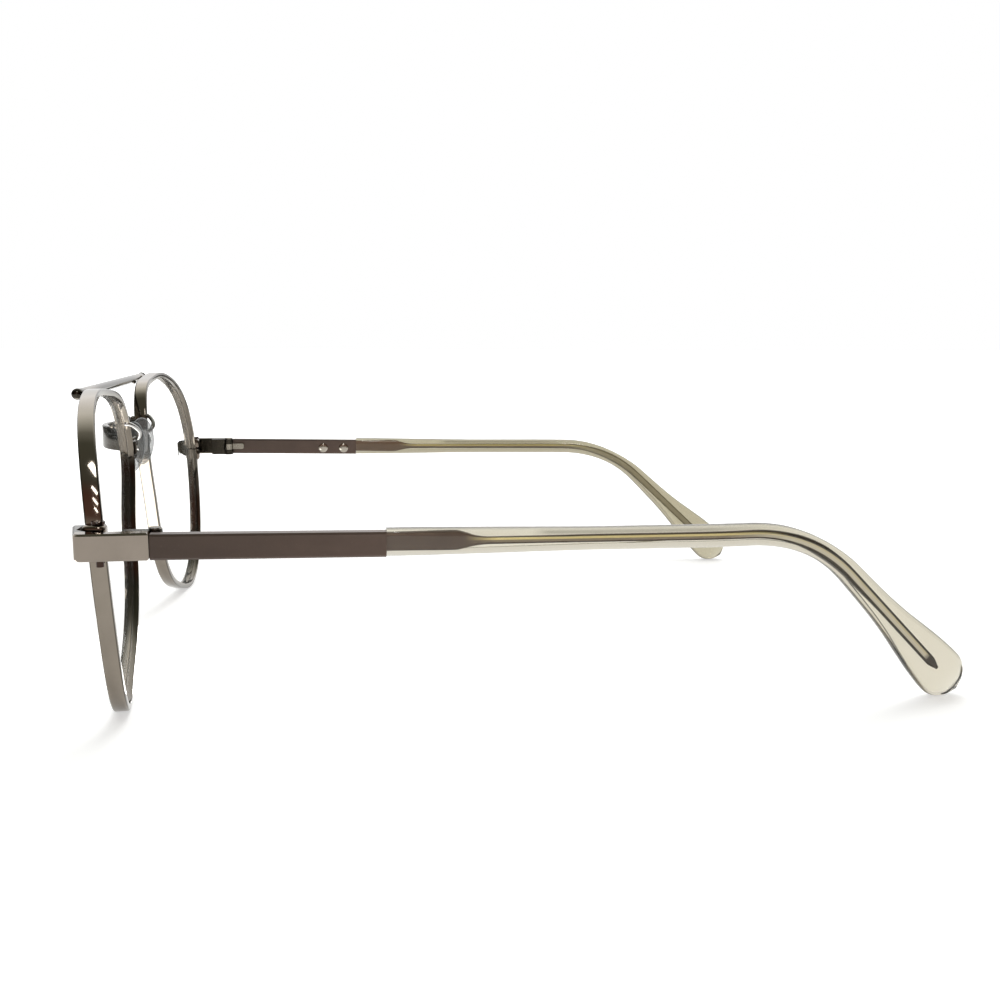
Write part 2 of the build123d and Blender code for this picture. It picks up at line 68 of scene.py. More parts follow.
LENS_GAP = 0.06
LENS_PROUD = 0.7
LENS_THICK = 2.4
LENS_EDGE_BEVEL = 0.35
BEVEL_DEEP = 0.34
BEVEL_WIDE = 1.0
LENS_ROWS = 13
LENS_ROW_POWER = 1.6

BAR_RADIUS = 0.85
BAR_LEAST_RADIUS = 0.01
BAR_HALF_LONG = 33.4
BAR_BALL = 0.98
# the angle at which a ball ends, and the length and share of radius where the bar is waisted behind it
BAR_BALL_END = 0.62
BAR_WAIST_LONG, BAR_WAIST_SHARE = 0.45, 0.985
BAR_Y = FRONT + 2.45
BAR_Z = 50.45
BAR_NECK = 1.5
BAR_BALL_STEPS = 24
BAR_STEPS = 12
BAR_SIDES = 32
BAR_SOLDER = ((18.6, -0.4), (28.0, 0.05))
BAR_SOLDER_RADIUS = (0.75, 0.42, 0.5)
BAR_SOLDER_BACK = 0.75

STRAP_TALL = 4.4
STRAP_THICK = 1.1
STRAP_CORNER = 0.26
STRAP_Z = 40.7
STRAP_HALF_SPAN = 9.5
STRAP_BOW = 4.25
STRAP_STEPS = 48
STRAP_SHADED_EDGE = 0.2
STRAP_SOLDER = (((8.3, FRONT + 3.2, 43.15), 0.6), ((9.25, FRONT + 4.1, 43.05), 0.5))

SIDE_HALF_WIDTH = 68.26
ENDPIECE_INSIDE_X = SIDE_HALF_WIDTH - 2.1
ENDPIECE_INSIDE_Y = FRONT + 4.0

JOINT_Y = FRONT + 17.95
TEMPLE_Z = 31.26
TEMPLE_CONVERGE = 0.0154
TEMPLE_DROP = 0.0164
STRAIGHT_LONG = 88.8
STRAIGHT_RISE = 0.6
EAR_RADIUS = 28.0
EAR_BEND = radians(42.7)
EAR_LONG = 26.62
TIP_INSET = 1.25
INWARD_START = 80.0
INWARD_RAMP = 12.6
INWARD_SLOPE = 0.195
ARM_LONG = STRAIGHT_LONG + EAR_RADIUS * EAR_BEND + EAR_LONG
TIP_WIDE = 8.55
TIP_THICK = 2.9
TIP_ROUND_SHARE = 0.42
# share of the arm's length, share of TIP_WIDE, share of TIP_THICK
TIP_STATIONS = (
    (0.2408, 0.478, 0.86), (0.262, 0.480, 0.90), (0.307, 0.465, 0.97), (0.362, 0.444, 1.0),
    (0.418, 0.420, 1.0), (0.473, 0.403, 1.0), (0.5535, 0.407, 1.0), (0.635, 0.409, 1.0),
    (0.6877, 0.405, 1.0), (0.7165, 0.392, 1.0), (0.742, 0.388, 1.0), (0.768, 0.405, 1.0),
    (0.802, 0.450, 1.0), (0.825, 0.476, 1.0), (0.864, 0.535, 1.0), (0.898, 0.635, 0.99),
    (0.933, 0.790, 0.97), (0.967, 0.930, 0.95), (1.0, 1.0, 0.92),
)
TIP_STEPS = 150
CAP_FLAT_SHARE = 0.7
CAP_REACH = pi / 2 * 0.955
CAP_STEPS = 14

BLOCK_X = 62.0
BLOCK_Y = FRONT + 9.735
BLOCK_LONG_X = 3.0
BLOCK_LONG_Y = 3.35
BLOCK_HEIGHTS = {"block_upper": (31.42, 33.7), "block_lower": (28.3, 31.18)}
BLOCK_SQUARE = 0.5

PAD_CENTRE = (5.5, FRONT + 6.3, 38.8)
PAD_TALL = 9.6
PAD_WIDE = 4.9
PAD_THICK = 2.0
PAD_SPLAY = 15.0
PAD_FLARE = 10.0
PAD_ROUNDNESS = 0.85
PAD_FULLNESS = 0.94
PAD_DROP = 0.06
PAD_EDGE_POWER = 0.55
PAD_FLATNESS = 0.98
PAD_POLE_SHARE = 0.02
PAD_ROWS = 48

BROKEN_EDGE = 0.09
BROKEN_EDGE_ANGLE = radians(40)
# rows from pole to pole of small round pieces, points round them, and the width left at a pole
SMALL_ROWS = 24
SMALL_SIDES = 40
POLE_SHARE = 0.01

BAR_THICK = 2.4
RIVET_ALONGS = (24.35, 29.6)
RIVET_DROP = 0.25
RIVET_RADIUS = 1.2
RIVET_PROUD = 0.3

CORE_TALL = 2.4
CORE_THICK = 0.9
CORE_ROUND_SHARE = 0.3
CORE_STEPS = 240
# share of the arm's length, share of CORE_TALL, share of CORE_THICK
CORE_STATIONS = (
    (0.146, 1.0, 1.0), (0.20, 1.0, 1.0), (0.25, 1.0, 1.0), (0.29, 1.0, 1.0), (0.315, 0.98, 1.0),
    (0.326, 0.80, 1.0), (0.336, 0.58, 1.0), (0.350, 0.44, 1.0), (0.42, 0.42, 1.0),
    (0.50, 0.42, 1.0), (0.58, 0.43, 1.0), (0.64, 0.44, 1.0), (0.69, 0.50, 1.0), (0.73, 0.57, 1.0),
    (0.77, 0.62, 1.0), (0.82, 0.66, 1.0), (0.90, 0.67, 1.0), (0.974, 0.67, 1.0),
    (0.983, 0.45, 0.9), (0.990, 0.22, 0.8),
)


# ---- materials: small helpers ----


def wire(tree, value, socket):
    """Joins an output to a socket, or sets the socket's own value."""
    if isinstance(value, bpy.types.NodeSocket):
        tree.links.new(value, socket)
    else:
        socket.default_value = value


def set_inputs(tree, node, **values):
    """Sets or joins a node's inputs. An input's name has _ for a space."""
    for name, value in values.items():
        wire(tree, value, node.inputs[name.replace("_", " ")])


def add_node(tree, kind, settings=None, **values):
    """A node with its settings, and its inputs as in set_inputs."""
    made = tree.nodes.new(kind)
    for name, value in (settings or {}).items():
        setattr(made, name, value)
    set_inputs(tree, made, **values)
    return made


def math_node(tree, operation, *values, clamp=False):
    made = tree.nodes.new("ShaderNodeMath")
    made.operation = operation
    made.use_clamp = clamp
    for value, socket in zip(values, made.inputs):
        wire(tree, value, socket)
    return made.outputs[0]


def ramp(tree, value, spots):
    """A colour ramp through spots of (place, level) or (place, colour)."""
    made = tree.nodes.new("ShaderNodeValToRGB")
    band = made.color_ramp
    while len(band.elements) < len(spots):
        band.elements.new(1.0)
    for element, (place, level) in zip(band.elements, spots):
        element.position = place
        element.color = (level, level, level, 1.0) if isinstance(level, float) else (*level, 1.0)
    wire(tree, value, made.inputs[0])
    return made.outputs[0]


# places of the Mix node's colour sockets, whose names aren't unique
MIX_FIRST, MIX_SECOND, MIX_RESULT = 6, 7, 2


def mix_colour(tree, share, first, second):
    made = tree.nodes.new("ShaderNodeMix")
    made.data_type = "RGBA"
    wire(tree, share, made.inputs[0])
    for index, value in ((MIX_FIRST, first), (MIX_SECOND, second)):
        wire(tree, value if isinstance(value, bpy.types.NodeSocket) else (*value, 1.0), made.inputs[index])
    return made.outputs[MIX_RESULT]


def new_group(name, inputs, outputs):
    """A node group with float inputs {name: value} and outputs [(name, type)]."""
    group = bpy.data.node_groups.new(name, "ShaderNodeTree")
    for label, value in inputs.items():
        socket = group.interface.new_socket(name=label, in_out="INPUT", socket_type="NodeSocketFloat")
        socket.default_value = value
    for label, kind in outputs:
        group.interface.new_socket(name=label, in_out="OUTPUT", socket_type=kind)
    return group, group.nodes.new("NodeGroupInput"), group.nodes.new("NodeGroupOutput")


def polish_group():
    """Fine polishing lines, handling marks and cloudy wear, as masks from 0 to 1."""
    group, given, put = new_group(
        "polish_marks",
        {"Line Scale": 900.0, "Cloud Scale": 160.0},
        [("Lines", "NodeSocketFloat"), ("Clouds", "NodeSocketFloat"), ("Specks", "NodeSocketFloat")],
    )
    spot = group.nodes.new("ShaderNodeTexCoord").outputs["Object"]
    stretch = add_node(group, "ShaderNodeMapping", Vector=spot, Scale=(1.0, 0.08, 1.0))
    noise = "ShaderNodeTexNoise"
    line_scale, cloud_scale = given.outputs["Line Scale"], given.outputs["Cloud Scale"]
    lines = add_node(group, noise, Vector=stretch.outputs[0], Scale=line_scale, Detail=3.0)
    clouds = add_node(group, noise, Vector=spot, Scale=cloud_scale, Detail=5.0, Roughness=0.6)
    specks = add_node(group, noise, Vector=spot, Scale=2600.0, Detail=2.0)
    wire(group, lines.outputs[0], put.inputs["Lines"])
    wire(group, ramp(group, clouds.outputs[0], ((0.35, 0.0), (0.7, 1.0))), put.inputs["Clouds"])
    wire(group, ramp(group, specks.outputs[0], ((0.66, 0.0), (0.74, 1.0))), put.inputs["Specks"])
    return group


polish_marks = polish_group()


def new_material(name):
    made = bpy.data.materials.new(name)
    made.use_nodes = True
    return made, made.node_tree, made.node_tree.nodes["Principled BSDF"]


def marks_in(tree, line_scale, cloud_scale):
    made = tree.nodes.new("ShaderNodeGroup")
    made.node_tree = polish_marks
    made.inputs["Line Scale"].default_value = line_scale
    made.inputs["Cloud Scale"].default_value = cloud_scale
    return made.outputs


def place_on(tree, kind):
    """X, Y and Z of the point on the surface, in the object's frame or as shares of its box."""
    spot = tree.nodes.new("ShaderNodeTexCoord").outputs[kind]
    return add_node(tree, "ShaderNodeSeparateXYZ", Vector=spot).outputs


def from_mesh(tree, label):
    return add_node(tree, "ShaderNodeAttribute", {"attribute_name": label}).outputs["Fac"]


# colours that painted shade mixes into the metal and into the clear tips
SHADED_METAL = (0.05, 0.045, 0.036)
SHADED_PLASTIC = (0.06, 0.052, 0.04)
CLOUDED_LACQUER = (0.075, 0.055, 0.046)
LACQUER_DUST = (0.30, 0.26, 0.23)
RELIEF_METRES = 0.00002


def gloss(tree, mark, rough, rough_more):
    """Roughness that rises with a mask."""
    return math_node(tree, "MULTIPLY_ADD", mark, rough_more, rough)


def relief(tree, mark, strength):
    """Normals of a surface that is raised a little where a mask says."""
    bump = add_node(tree, "ShaderNodeBump", Strength=strength, Distance=RELIEF_METRES, Height=mark)
    return bump.outputs[0]


def painted_shade_from_mesh(tree):
    """The mesh's own mask of painted shade, 0 where it has none."""
    return from_mesh(tree, "shade")


def shaded_inner_side(tree):
    """1 on the faces of an endpiece that look toward the lenses, which are painted dark as painted shade.
    """
    spot = place_on(tree, "Object")
    across = math_node(tree, "ABSOLUTE", spot["X"])
    inside = math_node(tree, "LESS_THAN", across, ENDPIECE_INSIDE_X * METRE)
    behind = math_node(tree, "GREATER_THAN", spot["Y"], ENDPIECE_INSIDE_Y * METRE)
    return math_node(tree, "MULTIPLY", inside, behind)


def metal(
    name, colour, dull_colour, rough, rough_more, bump, line_scale=900.0, cloud_scale=300.0, shade=None
):
    """Plated or bare metal: two close tones, darkened by painted shade where shade says, with fine lines in
    its gloss.
    """
    made, tree, shader = new_material(name)
    marks = marks_in(tree, line_scale, cloud_scale)
    tone = mix_colour(tree, marks["Clouds"], colour, dull_colour)
    if shade:
        tone = mix_colour(tree, shade(tree), tone, SHADED_METAL)
    set_inputs(
        tree, shader, Base_Color=tone, Metallic=1.0,
        Roughness=gloss(tree, marks["Lines"], rough, rough_more), Normal=relief(tree, marks["Lines"], bump),
    )
    return made


def lacquer(name, colour, lit_rear_colour):
    """Satin lacquer over metal with a thin clear coat and fine specks, painted lighter toward its rear end
    as painted light.
    """
    made, tree, shader = new_material(name)
    marks = marks_in(tree, 700.0, 240.0)
    tone = mix_colour(tree, place_on(tree, "Generated")["Y"], colour, lit_rear_colour)
    tone = mix_colour(tree, math_node(tree, "MULTIPLY", marks["Clouds"], 0.3), tone, CLOUDED_LACQUER)
    tone = mix_colour(tree, math_node(tree, "MULTIPLY", marks["Specks"], 0.06), tone, LACQUER_DUST)
    set_inputs(
        tree, shader, Base_Color=tone, Metallic=0.55, Roughness=gloss(tree, marks["Lines"], 0.30, 0.16),
        Coat_Weight=0.12, Coat_Roughness=0.12, Normal=relief(tree, marks["Clouds"], 0.25),
    )
    return made


def tip_plastic(name, colour, absorb, density):
    """Clear moulded tip: smoky in its depth, darkened by painted shade along its edges and in a band on
    top, with faint handling marks.
    """
    made, tree, shader = new_material(name)
    marks = marks_in(tree, 500.0, 120.0)
    tone = mix_colour(tree, painted_shade_from_mesh(tree), colour, SHADED_PLASTIC)
    set_inputs(
        tree, shader, Base_Color=tone, Specular_IOR_Level=0.2, Transmission_Weight=1.0, IOR=1.46,
        Roughness=gloss(tree, marks["Clouds"], 0.01, 0.03),
    )
    depth = add_node(tree, "ShaderNodeVolumeAbsorption", Color=(*absorb, 1.0), Density=density)
    set_inputs(tree, tree.nodes["Material Output"], Volume=depth.outputs[0])
    return made


def silicone():
    """Clear soft silicone: a milky body that lets the metal shank show, and a soft gloss."""
    made, tree, shader = new_material("pad_silicone")
    marks = marks_in(tree, 500.0, 200.0)
    tone = mix_colour(tree, marks["Clouds"], (0.36, 0.385, 0.40), (0.28, 0.30, 0.315))
    slant = add_node(tree, "ShaderNodeLayerWeight", Blend=0.35).outputs["Facing"]
    set_inputs(
        tree, shader, Base_Color=tone, Roughness=gloss(tree, marks["Lines"], 0.12, 0.15),
        Alpha=math_node(tree, "MULTIPLY_ADD", slant, 0.40, 0.42),
    )
    return made


def lens_glass():
    """Clear lens: it mirrors a little, more at a grazing angle, and its ground edge is frosted."""
    made, tree, shader = new_material("lens_clear")
    marks = marks_in(tree, 500.0, 90.0)
    edge = from_mesh(tree, "edge")
    smear = math_node(tree, "MULTIPLY", marks["Clouds"], 0.02)
    mirror = add_node(tree, "ShaderNodeFresnel", IOR=1.4).outputs[0]
    veil = math_node(tree, "MULTIPLY_ADD", mirror, 0.035, 0.004)
    set_inputs(
        tree, shader, Base_Color=(0.95, 0.97, 0.96, 1.0), Metallic=1.0,
        Roughness=math_node(tree, "MULTIPLY_ADD", edge, 0.5, smear),
        Alpha=math_node(tree, "MULTIPLY_ADD", edge, 0.035, veil),
    )
    return made


# tones across the core's wire, from its lower edge (0) to its upper edge (1): bright stripes of painted
# highlight between dark edges of painted shade, as the wire shows through the clear tip
NEAR_WIRE_TONES = (
    (0.0, (0.045, 0.034, 0.022)), (0.20, (0.055, 0.042, 0.028)), (0.27, (0.78, 0.73, 0.62)),
    (0.50, (0.88, 0.83, 0.70)), (0.72, (0.80, 0.72, 0.50)), (0.79, (0.05, 0.038, 0.024)),
    (1.0, (0.035, 0.027, 0.018)),
)
STRAIGHT_WIRE_TONES = (
    (0.0, (0.06, 0.045, 0.032)), (0.22, (0.10, 0.075, 0.055)), (0.30, (0.34, 0.28, 0.21)),
    (0.55, (0.34, 0.28, 0.19)), (0.62, (0.95, 0.80, 0.36)), (0.86, (0.95, 0.82, 0.42)),
    (0.93, (0.10, 0.08, 0.05)), (1.0, (0.07, 0.055, 0.035)),
)
# the far core is a paler, lighter copy of the same metal, painted light where it shows through the far tip:
# its wire here and its tang below
FAR_WIRE_TONES = (
    (0.0, (0.26, 0.235, 0.18)), (0.3, (0.52, 0.48, 0.38)), (0.7, (0.56, 0.52, 0.41)),
    (1.0, (0.20, 0.18, 0.13)),
)
NEAR_TANG_TONES = ((0.150, 0.108, 0.086), (0.125, 0.09, 0.072))
FAR_TANG_TONES = ((0.250, 0.165, 0.120), (0.215, 0.14, 0.10))
POINT_TONE = (0.055, 0.042, 0.028)


def core_wire(name, wire_tones, tang_tones):
    """The temple's core: lacquered flat tang, then a wire with painted highlights and dark edges of painted
    shade.
    """
    made, tree, shader = new_material(name)
    marks = marks_in(tree, 1200.0, 300.0)
    across, along = from_mesh(tree, "across"), from_mesh(tree, "along")
    lift = math_node(tree, "MULTIPLY_ADD", across, 0.5, 0.5)
    is_ear = ramp(tree, along, ((0.62, 0.0), (0.70, 1.0)))
    straight_tone, ear_tone = ramp(tree, lift, STRAIGHT_WIRE_TONES), ramp(tree, lift, wire_tones)
    wire_tone = mix_colour(tree, is_ear, straight_tone, ear_tone)
    is_point = ramp(tree, along, ((0.962, 0.0), (0.968, 1.0)))
    wire_tone = mix_colour(tree, is_point, wire_tone, POINT_TONE)
    tang = mix_colour(tree, marks["Clouds"], *tang_tones)
    is_wire = ramp(tree, along, ((0.325, 0.0), (0.36, 1.0)))
    set_inputs(
        tree, shader, Base_Color=mix_colour(tree, is_wire, tang, wire_tone), Metallic=0.6,
        Roughness=gloss(tree, marks["Lines"], 0.22, 0.2), Normal=relief(tree, marks["Lines"], 0.3),
    )
    return made


GUNMETAL = metal(
    "gunmetal_plate", (0.275, 0.240, 0.200), (0.25, 0.218, 0.180), rough=0.04, rough_more=0.06, bump=0.12,
    cloud_scale=200.0, shade=painted_shade_from_mesh,
)
ENDPIECE_PLATE = metal(
    "endpiece_plate", (0.300, 0.258, 0.218), (0.27, 0.232, 0.195), rough=0.05, rough_more=0.08, bump=0.12,
    cloud_scale=200.0, shade=shaded_inner_side,
)
BLOCK_PLATE = metal(
    "block_plate", (0.20, 0.165, 0.135), (0.17, 0.14, 0.115), rough=0.05, rough_more=0.05, bump=0.1
)
DARK_PLATE = metal(
    "dark_plate", (0.095, 0.083, 0.068), (0.065, 0.057, 0.047), rough=0.12, rough_more=0.12, bump=0.2
)
# the hinge's front legs: plate painted nearly black, painted shade
SHADED_LEG_PLATE = metal(
    "hinge_leg_shaded", (0.050, 0.044, 0.034), (0.036, 0.032, 0.026), rough=0.16, rough_more=0.12, bump=0.2
)
HINGE_PLATE = metal(
    "hinge_plate", (0.34, 0.31, 0.26), (0.22, 0.20, 0.165), rough=0.14, rough_more=0.14, bump=0.2
)
RIVET_PLATE = metal(
    "rivet_plate", (0.44, 0.40, 0.34), (0.36, 0.325, 0.28), rough=0.07, rough_more=0.06, bump=0.1
)
SCREW_STEEL = metal(
    "screw_steel", (0.55, 0.54, 0.52), (0.42, 0.41, 0.40), rough=0.18, rough_more=0.14, bump=0.3,
    line_scale=1500.0, cloud_scale=500.0,
)
DARK_SCREW = metal(
    "dark_screw", (0.060, 0.038, 0.030), (0.045, 0.030, 0.025), rough=0.15, rough_more=0.12, bump=0.3,
    line_scale=1500.0, cloud_scale=500.0,
)
CORE_METAL = core_wire("core_wire", NEAR_WIRE_TONES, NEAR_TANG_TONES)
FAR_CORE_LIT = core_wire("core_wire_far_lit", FAR_WIRE_TONES, FAR_TANG_TONES)
BROWN_LACQUER = lacquer("brown_lacquer", (0.088, 0.061, 0.047), (0.150, 0.101, 0.079))
SMOKY_CLEAR = tip_plastic("smoky_clear", (0.925, 0.920, 0.912), (0.556, 0.474, 0.235), density=250.0)
# the far tip: a darker, denser copy of the same plastic, painted shade
SHADED_FAR_CLEAR = tip_plastic("smoky_clear_far_shaded", (0.76, 0.755, 0.715), (0.556, 0.48, 0.24), density=420.0)
LENS_CLEAR = lens_glass()
PAD_SILICONE = silicone()

# ---- shapes: small helpers ----


def closed_curve(points, samples):
    """Points on the smooth closed curve through the given ones, and its directions there."""
    spots = np.array(points, dtype=float)
    ahead = np.roll(spots, -1, axis=0)
    steps = np.linalg.norm(ahead - spots, axis=1)
    before = np.roll(steps, 1)
    size = len(spots)
    system = np.zeros((size, size))
    for here in range(size):
        system[here, here - 1] += before[here] / 6
        system[here, here] += (before[here] + steps[here]) / 3
        system[here, (here + 1) % size] += steps[here] / 6
    slopes = (ahead - spots) / steps[:, None]
    bends = np.linalg.solve(system, slopes - np.roll(slopes, 1, axis=0))
    starts = np.concatenate(([0.0], np.cumsum(steps)))
    found, ways = [], []
    for place in np.arange(samples) / samples * starts[-1]:
        span = min(int(np.searchsorted(starts, place, side="right")) - 1, size - 1)
        step, run = steps[span], place - starts[span]
        left, bend, next_bend = step - run, bends[span], bends[(span + 1) % size]
        from_here = spots[span] / step - bend * step / 6
        from_next = ahead[span] / step - next_bend * step / 6
        bent = (bend * left**3 + next_bend * run**3) / (6 * step)
        found.append(bent + from_here * left + from_next * run)
        ways.append((next_bend * run**2 - bend * left**2) / (2 * step) - from_here + from_next)
    return [Vector(spot) for spot in found], [Vector(way).normalized() for way in ways]


def smooth_row(stations, place):
    """The values of a table of stations at a place, on a smooth curve that doesn't overshoot."""
    places = [row[0] for row in stations]
    last = len(places) - 1
    span = max(0, min(last - 1, int(np.searchsorted(places, place, side="right")) - 1))
    step = places[span + 1] - places[span]
    share = (place - places[span]) / step

    def slope(spot, column):
        if spot == 0 or spot == last:
            return 0.0
        down = (stations[spot][column] - stations[spot - 1][column]) / (places[spot] - places[spot - 1])
        up = (stations[spot + 1][column] - stations[spot][column]) / (places[spot + 1] - places[spot])
        return 0.0 if down * up <= 0 else 2 * down * up / (down + up)

    values = []
    for column in range(1, len(stations[0])):
        low, high = stations[span][column], stations[span + 1][column]
        rise, fall = share * share * (3 - 2 * share), 1 - share * share * (3 - 2 * share)
        ease_in = share * (1 - share) ** 2 * step
        ease_out = share * share * (share - 1) * step
        bent = ease_in * slope(span, column) + ease_out * slope(span + 1, column)
        values.append(fall * low + rise * high + bent)
    return values


def rounded_ring(tall, thick, corner, arc_steps=7):
    """Points (up, out) round a rounded rectangle."""
    ring = []
    for turn, (side_up, side_out) in enumerate(((1, 1), (-1, 1), (-1, -1), (1, -1))):
        for step in range(arc_steps + 1):
            angle = (step / arc_steps + turn) * pi / 2
            up = side_up * (tall / 2 - corner) + corner * cos(angle)
            out = side_out * (thick / 2 - corner) + corner * sin(angle)
            ring.append((up, out))
    return ring


def tube(rings):
    """Vertices and faces of a skin through rings of points, with a face over each end."""
    size = len(rings[0])
    vertices = [point for ring in rings for point in ring]
    faces = []
    for here in range(len(rings) - 1):
        base, top = here * size, (here + 1) * size
        for index in range(size):
            after = (index + 1) % size
            faces.append((base + index, base + after, top + after, top + index))
    faces.append(tuple(reversed(range(size))))
    faces.append(tuple(range(len(vertices) - size, len(vertices))))
    return vertices, faces


def full_turn(sides):
    return [2 * pi * side / sides for side in range(sides)]


def half_turn(rows):
    return [pi * row / rows for row in range(rows + 1)]


def signed_power(value, power):
    return abs(value) ** power * (1 if value >= 0 else -1)


def add_ball(shape, centre, radius, around=20, rows=12):
    """Adds a ball, with a radius each way, to a shape of vertices and faces."""
    vertices, faces = shape
    base = len(vertices)
    for lift in half_turn(rows):
        for angle in full_turn(around):
            spot = Vector((sin(lift) * cos(angle), sin(lift) * sin(angle), cos(lift)))
            vertices.append(Vector(centre) + Vector(radius) * spot)
    for row in range(rows):
        for turn in range(around):
            after = (turn + 1) % around
            low, high = base + row * around, base + (row + 1) * around
            faces.append((low + turn, high + turn, high + after, low + after))


def make_piece(name, shape, finish, body, replaced, mirrored=False, sharp=35.0, marks=None):
    """A Blender object from millimetre vertices and faces, which stands for a CAD node."""
    vertices, faces = shape
    flip = -1.0 if mirrored else 1.0
    spots = [(flip * point[0] * METRE, point[1] * METRE, point[2] * METRE) for point in vertices]
    sides = [tuple(reversed(face)) for face in faces] if mirrored else faces
    mesh = bpy.data.meshes.new(name)
    mesh.from_pydata(spots, [], sides)
    for label, values in (marks or {}).items():
        mesh.attributes.new(label, "FLOAT", "POINT").data.foreach_set("value", values)
    mesh.materials.append(finish)
    mesh.validate()
    made = bpy.data.objects.new(name, mesh)
    bpy.context.scene.collection.objects.link(made)
    tidy = bmesh.new()
    tidy.from_mesh(mesh)
    bmesh.ops.remove_doubles(tidy, verts=tidy.verts, dist=1e-7)
    bmesh.ops.recalc_face_normals(tidy, faces=tidy.faces)
    tidy.to_mesh(mesh)
    tidy.free()
    mesh.polygons.foreach_set("use_smooth", [True] * len(mesh.polygons))
    mesh.set_sharp_from_angle(angle=radians(sharp))
    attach(made, body)
    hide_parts(replaced)
    return made


# ---- rims and lenses ----

EYE_OUT = Vector((cos(RIM_WRAP), sin(RIM_WRAP), 0.0))
EYE_UP = Vector((0.0, 0.0, 1.0))
EYE_FRONT = Vector((sin(RIM_WRAP), -cos(RIM_WRAP), 0.0))


def front_bulge(across, up):
    return up * tan(RIM_LEAN) - across**2 / RADIUS_ACROSS / 2 - up**2 / RADIUS_UPRIGHT / 2


def eye_point(across, up, forward):
    return Vector(RIM_CENTRE) + EYE_OUT * across + EYE_UP * up + EYE_FRONT * forward


rim_spots = [(RIM_HALF * across, RIM_HALF * up) for across, up in RIM_OUTLINE]
rim_line, rim_ways = closed_curve(
    [eye_point(across, up, front_bulge(across, up)) for across, up in rim_spots], RIM_SAMPLES
)


def rim_section():
    """Points (outward from the outer face, back from the front face) round the grooved wire."""
    middle = RIM_DEPTH / 2
    section = []
    for corner_back, start in ((RIM_ROUND, -pi / 2), (RIM_DEPTH - RIM_ROUND, 0.0)):
        for step in range(RIM_CORNER_STEPS + 1):
            angle = start + step / RIM_CORNER_STEPS * pi / 2
            section.append((-RIM_ROUND + RIM_ROUND * cos(angle), corner_back + RIM_ROUND * sin(angle)))
    section += [
        (-RIM_WALL + LIP_ROUND, RIM_DEPTH), (-RIM_WALL, RIM_DEPTH - LIP_ROUND),
        (-RIM_WALL, middle + GROOVE_WIDE / 2), (GROOVE_DEEP - RIM_WALL, middle),
        (-RIM_WALL, middle - GROOVE_WIDE / 2), (-RIM_WALL, LIP_ROUND), (-RIM_WALL + LIP_ROUND, 0),
    ]
    return section


# how much painted shade the plate gets at a height: outside, and inside the loop toward the nose and the
# temple
OUTER_SHADE = ((0.5, 5.0), (0.35, 0.0))
NOSE_SHADE = ((3.0, 20.0, 36.5, 38.0, 43.0, 45.0, 50.0), (0.6, 0.78, 0.95, 0.2, 0.2, 0.9, 0.8))
SIDE_SHADE = ((3.0, 10.0, 24.0, 30.0, 36.0, 44.0), (0.6, 0.4, 0.75, 0.85, 0.55, 0.25))
EDGE_SHADE = 0.75
GROOVE_SHADE = 0.1


def at(place, table):
    """The value of a (places, values) table at a place."""
    return float(np.interp(place, *table))


def rim_shade(spot, out, deep):
    """How much painted shade the plate gets round the rim's section: on its rounded edges and inside the
    loop.
    """
    on_corner = deep < RIM_ROUND or deep > RIM_DEPTH - RIM_ROUND
    if on_corner and -RIM_ROUND - 0.01 < out < -0.02:
        return EDGE_SHADE
    if out > -RIM_WALL + 0.2 or not 0 < deep < RIM_DEPTH:
        return at(spot.z, OUTER_SHADE)
    if out > -RIM_WALL + 0.01:
        return GROOVE_SHADE
    return at(spot.z, NOSE_SHADE if spot.x < RIM_CENTRE[0] else SIDE_SHADE)


def build_rim(side):
    """The grooved wire, open at its split, with flat ends there."""
    section = rim_section()
    rings, shade = [], []
    at_split = [
        index for index, spot in enumerate(rim_line)
        if spot.x > RIM_CENTRE[0] and abs(spot.z - SPLIT_HEIGHT) < 3 * SPLIT_GAP
    ]
    first = max(at_split) + 1
    order = [(first + step) % RIM_SAMPLES for step in range(RIM_SAMPLES - len(at_split))]
    for index in order:
        spot, way = rim_line[index], rim_ways[index]
        outward = way.cross(EYE_FRONT).normalized()
        back = way.cross(outward)
        rings.append([spot + outward * out + back * deep for out, deep in section])
        shade += [rim_shade(spot, out, deep) for out, deep in section]
    shade = shade[: len(section)] + shade + shade[-len(section):]
    upper, lower = SPLIT_HEIGHT + SPLIT_GAP / 2, SPLIT_HEIGHT - SPLIT_GAP / 2
    rings.insert(0, [Vector((spot.x, spot.y, upper)) for spot in rings[0]])
    rings.append([Vector((spot.x, spot.y, lower)) for spot in rings[-1]])
    make_piece(
        f"{side}_eyewire", tube(rings), GUNMETAL, "front", f"{side}_rim", side == "right",
        marks={"shade": shade},
    )


